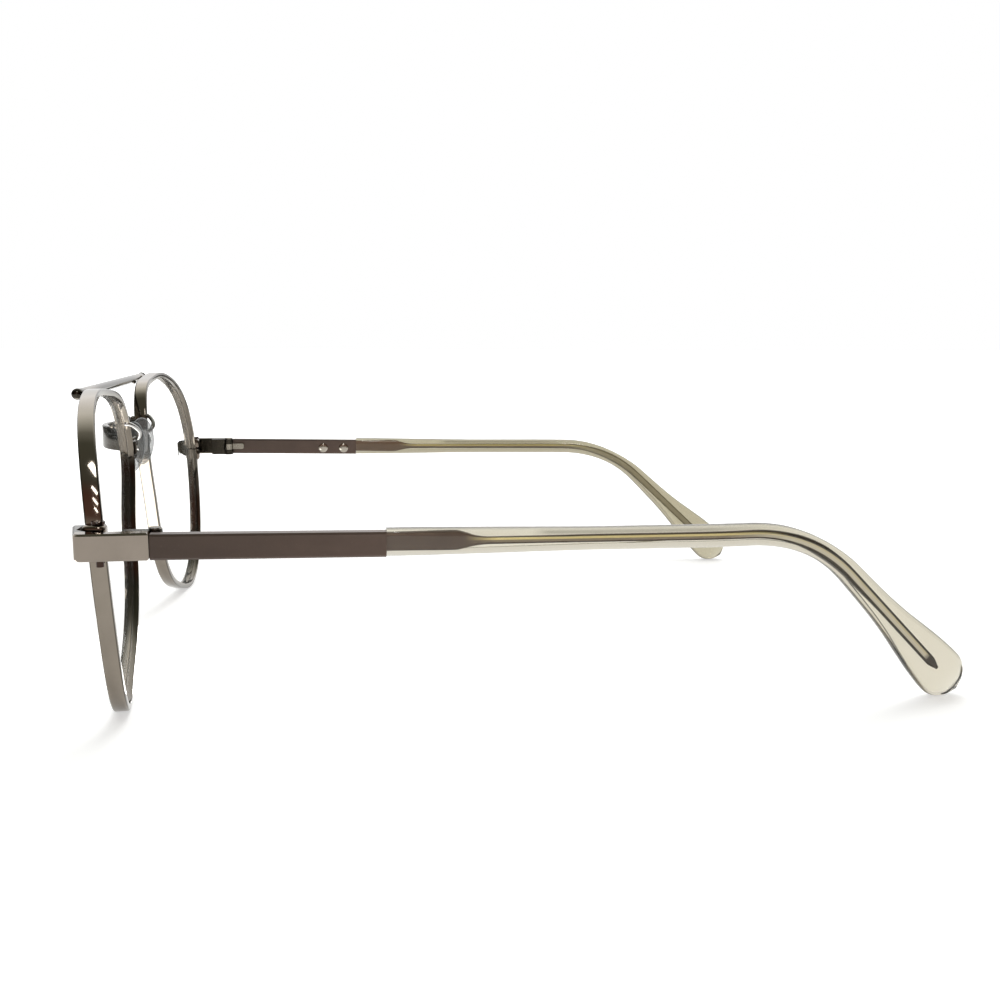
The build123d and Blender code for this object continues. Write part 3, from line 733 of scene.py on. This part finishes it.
def build_lens(side):
    """A domed lens with a V bevel round its edge, made of rings from the edge to the middle."""
    centre = Vector(RIM_CENTRE)
    rings, edge, flat_line = [], [], []
    for spot, way in zip(rim_line, rim_ways):
        local = spot - centre
        across, up = local.dot(EYE_OUT), local.z
        run = Vector((way.dot(EYE_OUT), way.z, 0.0)).normalized()
        flat_line.append((Vector((across, up, 0.0)), Vector((run.y, -run.x, 0.0))))
    wall, middle = RIM_WALL + LENS_GAP, RIM_DEPTH / 2
    profile = (
        (wall + LENS_EDGE_BEVEL, -LENS_PROUD), (wall, LENS_EDGE_BEVEL - LENS_PROUD),
        (wall, middle - BEVEL_WIDE / 2), (RIM_WALL - BEVEL_DEEP, middle), (wall, middle + BEVEL_WIDE / 2),
        (wall, LENS_THICK - LENS_PROUD),
    )
    share_rows = [1 - (row / LENS_ROWS) ** LENS_ROW_POWER for row in range(1, LENS_ROWS)]
    rows = [("front", share) for share in reversed(share_rows)]
    rows += [("edge", place) for place in profile]
    rows += [("rear", share) for share in share_rows]
    for kind, value in rows:
        ring = []
        for place, outward in flat_line[::2]:
            if kind == "edge":
                inset, deep = value
                spot = place - outward * inset
            else:
                inset, deep = profile[0] if kind == "front" else profile[-1]
                spot = (place - outward * inset) * value
            ring.append(eye_point(spot.x, spot.y, front_bulge(spot.x, spot.y) - deep))
        rings.append(ring)
        edge += [1.0 if kind == "edge" else 0.0] * len(ring)
    make_piece(
        f"{side}_lens_clear", tube(rings), LENS_CLEAR, "front", f"{side}_lens",
        side == "right", marks={"edge": edge},
    )


# ---- brow bar and bridge ----


# painted shade: the bar is painted dark in its middle and at its balls, and left bright where it is
# soldered to the rims
BAR_SHADE = ((0, 15.0, 19.0, 23.0, 30.5, 32.0), (0.97, 0.97, 0.75, 0.1, 0.2, 0.95))
STRAP_SHADE = 0.9
STRAP_SOLDER_SHADE = 0.5


def build_brow_bar():
    """A round bar with a ball at each end, and solder between it and the rims."""
    outline = []
    for step in range(BAR_BALL_STEPS + 1):
        angle = pi - step / BAR_BALL_STEPS * (pi - BAR_BALL_END)
        outline.append((-BAR_HALF_LONG + BAR_BALL * cos(angle), BAR_BALL * sin(angle)))
    neck = BAR_NECK - BAR_HALF_LONG
    outline += [(neck - BAR_WAIST_LONG, BAR_RADIUS * BAR_WAIST_SHARE), (neck, BAR_RADIUS)]
    outline += [(neck - neck * step / BAR_STEPS, BAR_RADIUS) for step in range(1, BAR_STEPS + 1)]
    outline += [(-along, radius) for along, radius in reversed(outline[:-1])]
    rings = []
    for along, radius in outline:
        size = max(radius, BAR_LEAST_RADIUS)
        ring = [(size * cos(angle), size * sin(angle)) for angle in full_turn(BAR_SIDES)]
        rings.append([Vector((along, BAR_Y + back, BAR_Z + up)) for back, up in ring])
    shape = tube(rings)
    for across, height in BAR_SOLDER:
        for side in (-1, 1):
            spot = (side * across, BAR_Y + BAR_SOLDER_BACK, BAR_Z + height)
            add_ball(shape, spot, BAR_SOLDER_RADIUS)
    shade = [at(abs(point[0]), BAR_SHADE) for point in shape[0]]
    make_piece(
        "brow_bar_polished", shape, GUNMETAL, "front", "brow_bar", marks={"shade": shade}
    )


def build_bridge():
    """A flat strap bowed forward between the rims, with solder beads at its upper corners."""
    end_y = FRONT + STRAP_THICK / 2 + STRAP_BOW
    radius = (STRAP_HALF_SPAN**2 + STRAP_BOW**2) / (2 * STRAP_BOW)
    centre_y = end_y - STRAP_BOW + radius
    half_angle = np.arcsin(STRAP_HALF_SPAN / radius)
    ring = rounded_ring(STRAP_TALL, STRAP_THICK, STRAP_CORNER, 4)
    rings = []
    for step in range(STRAP_STEPS + 1):
        angle = half_angle * (2 * step / STRAP_STEPS - 1)
        outward = Vector((sin(angle), -cos(angle), 0.0))
        spot = Vector((0.0, centre_y, STRAP_Z)) + outward * radius
        rings.append([spot + Vector((0, 0, up)) + outward * out for up, out in ring])
    shape = tube(rings)
    # painted shade on the strap's upper and lower edges and on its front face, and half as much on the
    # solder beads
    is_shaded = [abs(up) > STRAP_TALL / 2 - STRAP_SHADED_EDGE or out > 0 for up, out in ring]
    shade = [STRAP_SHADE if dark else 0.0 for dark in is_shaded] * len(rings)
    for side in (-1, 1):
        for (across, back, height), size in STRAP_SOLDER:
            add_ball(shape, (side * across, back, height), (size, size, size))
    shade += [STRAP_SOLDER_SHADE] * (len(shape[0]) - len(shade))
    make_piece("bridge_strap", shape, GUNMETAL, "front", "bridge", marks={"shade": shade})


# ---- temple tips and cores ----


def arm_point(distance):
    """Point of the temple's centre line in its own frame: along, up, out."""
    arc_end = STRAIGHT_LONG + EAR_RADIUS * EAR_BEND
    if distance <= STRAIGHT_LONG:
        along, up = distance, STRAIGHT_RISE * distance / STRAIGHT_LONG
    else:
        angle = min((distance - STRAIGHT_LONG) / EAR_RADIUS, EAR_BEND)
        rest = max(distance - arc_end, 0.0)
        along = STRAIGHT_LONG + EAR_RADIUS * sin(angle) + rest * cos(EAR_BEND)
        up = STRAIGHT_RISE - EAR_RADIUS * (1 - cos(angle)) - rest * sin(EAR_BEND)
    past = max(along - INWARD_START, 0.0)
    if past < INWARD_RAMP:
        inward = INWARD_SLOPE * past**2 / INWARD_RAMP / 2
    else:
        inward = INWARD_SLOPE * (past - INWARD_RAMP / 2)
    return Vector((along, up, -TIP_INSET - inward))


ARM_ALONG = Vector((-TEMPLE_CONVERGE, 1.0, -TEMPLE_DROP)).normalized()
ARM_OUT = Vector((1.0, TEMPLE_CONVERGE, 0.0)).normalized()
ARM_UP = ARM_OUT.cross(ARM_ALONG)


def arm_world(local):
    origin = Vector((SIDE_HALF_WIDTH, JOINT_Y, TEMPLE_Z))
    return origin + ARM_ALONG * local.x + ARM_UP * local.y + ARM_OUT * local.z


def arm_ring(distance, ring):
    here = arm_point(distance)
    way = (arm_point(distance + 0.05) - arm_point(distance - 0.05)).normalized()
    across = Vector((-way.y, way.x, 0.0)).normalized()
    out = way.cross(across)
    return [arm_world(here + across * up - out * side) for up, side in ring]


# painted shade: the tip is painted dark only at its very edge, where it is seen through its full depth
TIP_EDGE_SHADE = ((0.90, 0.97), (0.0, 0.9))
# and with a band of painted shade along the top of its straight part
TOP_SHADE_ALONG = ((0.395, 0.415, 0.60, 0.70), (0.0, 0.62, 0.62, 0.0))
TOP_SHADE_ACROSS = ((0.42, 0.55, 0.78, 0.90), (0.0, 1.0, 1.0, 0.0))


def build_tip(side):
    """Clear tip, with a flat paddle that ends round."""
    rings, shade = [], []
    start = TIP_STATIONS[0][0]
    for place in [start + (1 - start) * step / TIP_STEPS for step in range(TIP_STEPS + 1)]:
        tall, thick = smooth_row(TIP_STATIONS, place)
        tall, thick = TIP_WIDE * tall, TIP_THICK * thick
        ring = rounded_ring(tall, thick, min(tall, thick) * TIP_ROUND_SHARE)
        rings.append(arm_ring(ARM_LONG * place, ring))
        for up, _ in ring:
            top_shade = at(place, TOP_SHADE_ALONG) * at(2 * up / tall, TOP_SHADE_ACROSS)
            shade.append(max(at(2 * abs(up) / tall, TIP_EDGE_SHADE), top_shade))
    end_thick = TIP_THICK * TIP_STATIONS[-1][2]
    for step in range(1, CAP_STEPS + 1):
        share = sin(step / CAP_STEPS * CAP_REACH)
        tall = TIP_WIDE * sqrt(1 - share**2)
        thick = end_thick * sqrt(1 - (CAP_FLAT_SHARE * share) ** 2)
        ring = rounded_ring(tall, thick, min(tall, thick) * TIP_ROUND_SHARE)
        rings.append(arm_ring(ARM_LONG + share * TIP_WIDE / 2, ring))
        rear = at(share / sin(CAP_REACH), TIP_EDGE_SHADE)
        shade += [max(at(2 * abs(up) / tall, TIP_EDGE_SHADE), rear) for up, _ in ring]
    make_piece(
        f"{side}_tip_clear", tube(rings), SHADED_FAR_CLEAR if side == "right" else SMOKY_CLEAR,
        f"{side}_temple", f"{side}_temple_tip", side == "right", sharp=60.0,
        marks={"shade": shade},
    )


def build_core(side):
    """Flat tang in the bar that narrows to a wire and ends in a point in the paddle."""
    rings, along, across = [], [], []
    first, last = CORE_STATIONS[0][0], CORE_STATIONS[-1][0]
    for step in range(CORE_STEPS + 1):
        place = first + (last - first) * step / CORE_STEPS
        tall, thick = smooth_row(CORE_STATIONS, place)
        tall, thick = CORE_TALL * tall, CORE_THICK * thick
        ring = rounded_ring(tall, thick, min(tall, thick) * CORE_ROUND_SHARE, 4)
        rings.append(arm_ring(ARM_LONG * place, ring))
        along += [place] * len(ring)
        across += [2 * up / tall for up, _ in ring]
    make_piece(
        f"{side}_core_wire", tube(rings), FAR_CORE_LIT if side == "right" else CORE_METAL,
        f"{side}_temple", f"{side}_temple_core", side == "right", sharp=40.0,
        marks={"along": along, "across": across},
    )


def build_rivets(side):
    """Two low round heads on the inside of the bar, which hold the core."""
    vertices, faces = [], []
    for along in RIVET_ALONGS:
        rings = []
        for lift in half_turn(SMALL_ROWS):
            wide = max(sin(lift), POLE_SHARE) * RIVET_RADIUS
            out = -BAR_THICK - RIVET_PROUD * cos(lift)
            turns = full_turn(SMALL_SIDES)
            ring = [(along + wide * cos(angle), wide * sin(angle) - RIVET_DROP) for angle in turns]
            rings.append([arm_world(Vector((back, up, out))) for back, up in ring])
        skin, sides = tube(rings)
        faces += [tuple(index + len(vertices) for index in face) for face in sides]
        vertices += skin
    make_piece(
        f"{side}_rivet_heads", (vertices, faces), RIVET_PLATE, f"{side}_temple",
        f"{side}_crimp_rivets", side == "right", sharp=80.0,
    )


def build_blocks(side):
    """The two closing blocks on the split of the rim, tumbled round so that they gleam."""
    for part, (floor, top) in BLOCK_HEIGHTS.items():
        centre = Vector((BLOCK_X, BLOCK_Y, (floor + top) / 2))
        rings = []
        for lift in half_turn(SMALL_ROWS):
            flat = max(sin(lift), POLE_SHARE) ** BLOCK_SQUARE
            up = signed_power(cos(lift), BLOCK_SQUARE) * (top - floor) / 2
            ring = []
            for angle in full_turn(SMALL_SIDES):
                across = flat * signed_power(cos(angle), BLOCK_SQUARE) * BLOCK_LONG_X / 2
                back = flat * signed_power(sin(angle), BLOCK_SQUARE) * BLOCK_LONG_Y / 2
                ring.append(centre + Vector((across, back, up)))
            rings.append(ring)
        make_piece(
            f"{side}_{part}_round", tube(rings), BLOCK_PLATE, "front", f"{side}_{part}",
            side == "right", sharp=80.0,
        )


def build_pad(side):
    """A soft nose pad: a flat drop with a rolled edge, a little wider below its middle."""
    splay, flare = radians(PAD_SPLAY), radians(PAD_FLARE)
    normal = Vector((-cos(splay), sin(splay), -sin(flare))).normalized()
    back = Vector((sin(splay), cos(splay), 0.0))
    up = normal.cross(back)
    rings = []
    for turned in half_turn(PAD_ROWS):
        lift = -cos(turned)
        fullness = max(sqrt(1 - lift**2), PAD_POLE_SHARE)
        wide = PAD_WIDE / 2 * fullness * (PAD_FULLNESS - PAD_DROP * lift)
        thick = PAD_THICK / 2 * fullness**PAD_EDGE_POWER * PAD_FLATNESS
        level = Vector(PAD_CENTRE) + up * PAD_TALL / 2 * lift
        ring = []
        for angle in full_turn(SMALL_SIDES):
            across = signed_power(cos(angle), PAD_ROUNDNESS) * wide
            deep = signed_power(sin(angle), PAD_ROUNDNESS) * thick
            ring.append(level + back * across + normal * deep)
        rings.append(ring)
    made = make_piece(
        f"{side}_pad_drop", tube(rings), PAD_SILICONE, f"{side}_pad",
        f"{side}_nose_pad", side == "right", sharp=80.0,
    )


# the CAD nodes that are shown. The others are replaced by the pieces above.
FINISHES = {
    "endpiece": ENDPIECE_PLATE,
    "block_screw": DARK_SCREW,
    "hinge_front": SHADED_LEG_PLATE,
    "hinge_screw": HINGE_PLATE,
    "hinge_rear": HINGE_PLATE,
    "temple_bar": BROWN_LACQUER,
    "pad_arm": SCREW_STEEL,
    "pad_box": DARK_PLATE,
    "pad_screw": SCREW_STEEL,
    "pad_mount": SCREW_STEEL,
}
SOFTENED = ("endpiece", "hinge_front", "hinge_rear", "temple_bar")


def soften(piece):
    """Breaks the sharp edges of a piece a little, as tumbling does."""
    edge = piece.modifiers.new("broken_edges", "BEVEL")
    edge.width = BROKEN_EDGE * METRE
    edge.segments = 2
    edge.limit_method = "ANGLE"
    edge.angle_limit = BROKEN_EDGE_ANGLE
    edge.harden_normals = True


for side in ("left", "right"):
    for part, finish in FINISHES.items():
        piece = nodes[f"{side}_{part}"]
        piece.data.materials.clear()
        piece.data.materials.append(finish)
        if part in SOFTENED:
            soften(piece)
    build_rim(side)
    build_lens(side)
    build_tip(side)
    build_core(side)
    build_rivets(side)
    build_blocks(side)
    build_pad(side)
build_brow_bar()
build_bridge()


# ---- floor, sky and lamps ----

TABLE_HALF = 3.0
TABLE_MIDDLE_Y = -0.05
TABLE_END = ((0.34, 0.0), (0.42, 1.0))
TABLE_WHITE = (0.72, 0.72, 0.72)
TABLE_PAST_END = (0.06, 0.058, 0.05)
TABLE_GLOW = 0.5
TABLE_FAR_GLOW = ((0.10, 0.06), (0.45, 0.7))

WALL_LAMP_PLACE = (-0.27, 0.17, 1.0)
WALL_LAMP_SIDE = 0.42
WALL_LAMP_WATTS = 3.6
GLEAM_SPOT = (0.017, -0.084)
GLEAM_SIZE = (0.044, 0.05)
GLEAM_HEIGHT = 0.0008
GLEAM_WATTS = 0.03
STREAK_REACH = 0.9
STREAK_SIDE = -0.055
STREAK_AIM = (0.06, -0.06, 0.04)
# slim lamps on the photographer's side, which show as streaks in the polished rims:
# height in degrees, turn in degrees, length and width in metres, watts
STREAK_LAMPS = (
    (53.0, -50.0, 0.20, 0.10, 0.75), (35.0, -42.0, 0.13, 0.034, 0.17),
    (26.5, -42.0, 0.11, 0.024, 0.10), (20.0, -40.0, 0.07, 0.018, 0.05),
)
# half of the sky's colour in reflections, from the wall behind the object (0) over the ceiling
# to the photographer's side (1)
SKY_TONES = (
    (0.0, (0.48, 0.48, 0.48)), (0.05, (0.80, 0.80, 0.80)), (0.18, (0.80, 0.82, 0.80)),
    (0.30, (0.50, 0.52, 0.49)), (0.42, (0.19, 0.195, 0.172)), (0.56, (0.082, 0.084, 0.066)),
    (0.86, (0.066, 0.064, 0.050)), (0.93, (0.085, 0.042, 0.030)), (0.985, (0.10, 0.055, 0.040)),
    (1.0, (0.25, 0.23, 0.21)),
)
SKY_SIDES = ((0.55, 1.0), (0.85, 0.2))

CAMERA_PLACE = (0.2231139, -0.0327099, 0.0613343)
CAMERA_TURN, CAMERA_TILT, CAMERA_ROLL = radians(9.279), radians(8.822), radians(0.323)
IMAGE_WIDTH = 1000.0
FOCAL_PIXELS = 1099.8741


def square(tree, value):
    return math_node(tree, "MULTIPLY", value, value)


def length(tree, first, second):
    return math_node(tree, "SQRT", math_node(tree, "ADD", square(tree, first), square(tree, second)))


def seen_straight(tree, path):
    """1 for the camera's rays, also behind glass. path is a Light Path node's outputs."""
    return math_node(tree, "MAXIMUM", path["Is Camera Ray"], path["Is Transmission Ray"])


def build_floor():
    """White table that glows a little, more far away for the camera. In reflections it has ends."""
    made, tree, shader = new_material("white_table")
    path = tree.nodes.new("ShaderNodeLightPath").outputs
    spot = place_on(tree, "Object")
    sideways = math_node(tree, "ABSOLUTE", math_node(tree, "SUBTRACT", spot["Y"], TABLE_MIDDLE_Y))
    ended = math_node(tree, "MULTIPLY", path["Is Glossy Ray"], ramp(tree, sideways, TABLE_END))
    colour = mix_colour(tree, ended, TABLE_WHITE, TABLE_PAST_END)
    set_inputs(tree, shader, Base_Color=colour, Roughness=0.6, Specular_IOR_Level=0.1)
    background = math_node(tree, "MAXIMUM", seen_straight(tree, path), path["Is Glossy Ray"])
    left_over = math_node(tree, "SUBTRACT", background, ended, clamp=True)
    away = length(tree, spot["X"], spot["Y"])
    extra = math_node(tree, "MULTIPLY", path["Is Camera Ray"], ramp(tree, away, TABLE_FAR_GLOW))
    strength = math_node(tree, "MULTIPLY_ADD", left_over, TABLE_GLOW, extra)
    glow = add_node(tree, "ShaderNodeEmission", Strength=strength)
    total = tree.nodes.new("ShaderNodeAddShader")
    for made_by, socket in zip((shader, glow), total.inputs):
        wire(tree, made_by.outputs[0], socket)
    set_inputs(tree, tree.nodes["Material Output"], Surface=total.outputs[0])
    mesh = bpy.data.meshes.new("table_top")
    corners = [(TABLE_HALF * x, TABLE_HALF * y, 0) for x, y in ((-1, -1), (1, -1), (1, 1), (-1, 1))]
    mesh.from_pydata(corners, [], [(0, 1, 2, 3)])
    mesh.materials.append(made)
    table_top = bpy.data.objects.new("table_top", mesh)
    bpy.context.scene.collection.objects.link(table_top)


def build_sky():
    """White for the camera. Reflections see it dark toward the photographer, bright behind."""
    world = bpy.data.worlds.new("white_room")
    bpy.context.scene.world = world
    world.use_nodes = True
    tree = world.node_tree
    sky = tree.nodes["Background"]
    way = tree.nodes.new("ShaderNodeTexCoord").outputs["Generated"]
    parts = add_node(tree, "ShaderNodeSeparateXYZ", Vector=way).outputs
    reach = length(tree, parts["X"], parts["Z"])
    round_place = math_node(tree, "MULTIPLY_ADD", math_node(tree, "DIVIDE", parts["X"], reach), 0.5, 0.5)
    sideways = ramp(tree, math_node(tree, "ABSOLUTE", parts["Y"]), SKY_SIDES)
    doubled = math_node(tree, "MULTIPLY", sideways, 2.0)
    tone = add_node(tree, "ShaderNodeVectorMath", {"operation": "SCALE"}, Scale=doubled)
    wire(tree, ramp(tree, round_place, SKY_TONES), tone.inputs[0])
    straight = seen_straight(tree, tree.nodes.new("ShaderNodeLightPath").outputs)
    white = (1.0, 1.0, 1.0)
    set_inputs(tree, sky, Color=mix_colour(tree, straight, tone.outputs[0], white), Strength=1.0)


def area_lamp(name, place, aim, size, watts, turn=0.0):
    data = bpy.data.lights.new(name, "AREA")
    data.energy = watts
    data.shape = "RECTANGLE"
    data.size, data.size_y = size
    made = bpy.data.objects.new(name, data)
    bpy.context.scene.collection.objects.link(made)
    made.location = place
    facing = (Vector(aim) - Vector(place)).to_track_quat("-Z", "Y")
    made.rotation_euler = (facing @ Quaternion((0, 0, 1), radians(turn))).to_euler()
    return made


def build_camera():
    """The photograph's camera: place, turn, tilt and roll in the object's frame."""
    data = bpy.data.cameras.new("photo_camera")
    made = bpy.data.objects.new("photo_camera", data)
    bpy.context.scene.collection.objects.link(made)
    data.sensor_width = 36.0
    data.lens = FOCAL_PIXELS / IMAGE_WIDTH * data.sensor_width
    data.clip_start = 0.001
    turn, tilt, roll = CAMERA_TURN, CAMERA_TILT, CAMERA_ROLL
    ahead = Vector((-cos(tilt) * cos(turn), cos(tilt) * sin(turn), -sin(tilt)))
    flat_right = Vector((sin(turn), cos(turn), 0.0))
    flat_up = flat_right.cross(ahead)
    right = cos(roll) * flat_right + sin(roll) * flat_up
    up = -sin(roll) * flat_right + cos(roll) * flat_up
    axes = Matrix((right, up, -ahead)).transposed().to_4x4()
    made.matrix_world = Matrix.Translation(CAMERA_PLACE) @ axes
    bpy.context.scene.camera = made


def build_lamps():
    """A soft lamp for the shadows, one under the far lens for its white gleam, and the streaks."""
    wall_size = (WALL_LAMP_SIDE, WALL_LAMP_SIDE)
    soft = area_lamp("wall_lamp", WALL_LAMP_PLACE, (0, 0, 0), wall_size, WALL_LAMP_WATTS)
    soft.visible_glossy = False
    low, above = (*GLEAM_SPOT, GLEAM_HEIGHT), (*GLEAM_SPOT, 1.0)
    area_lamp("table_gleam", low, above, GLEAM_SIZE, GLEAM_WATTS).visible_diffuse = False
    for number, (lift, turn, long, wide, watts) in enumerate(STREAK_LAMPS, 1):
        spot = Vector((cos(radians(lift)), STREAK_SIDE, sin(radians(lift)))) * STREAK_REACH
        slim = area_lamp(f"streak_lamp_{number}", spot, STREAK_AIM, (long, wide), watts, turn)
        slim.visible_diffuse = False


build_floor()
build_sky()
build_camera()
build_lamps()
bpy.context.scene.view_settings.view_transform = "Standard"
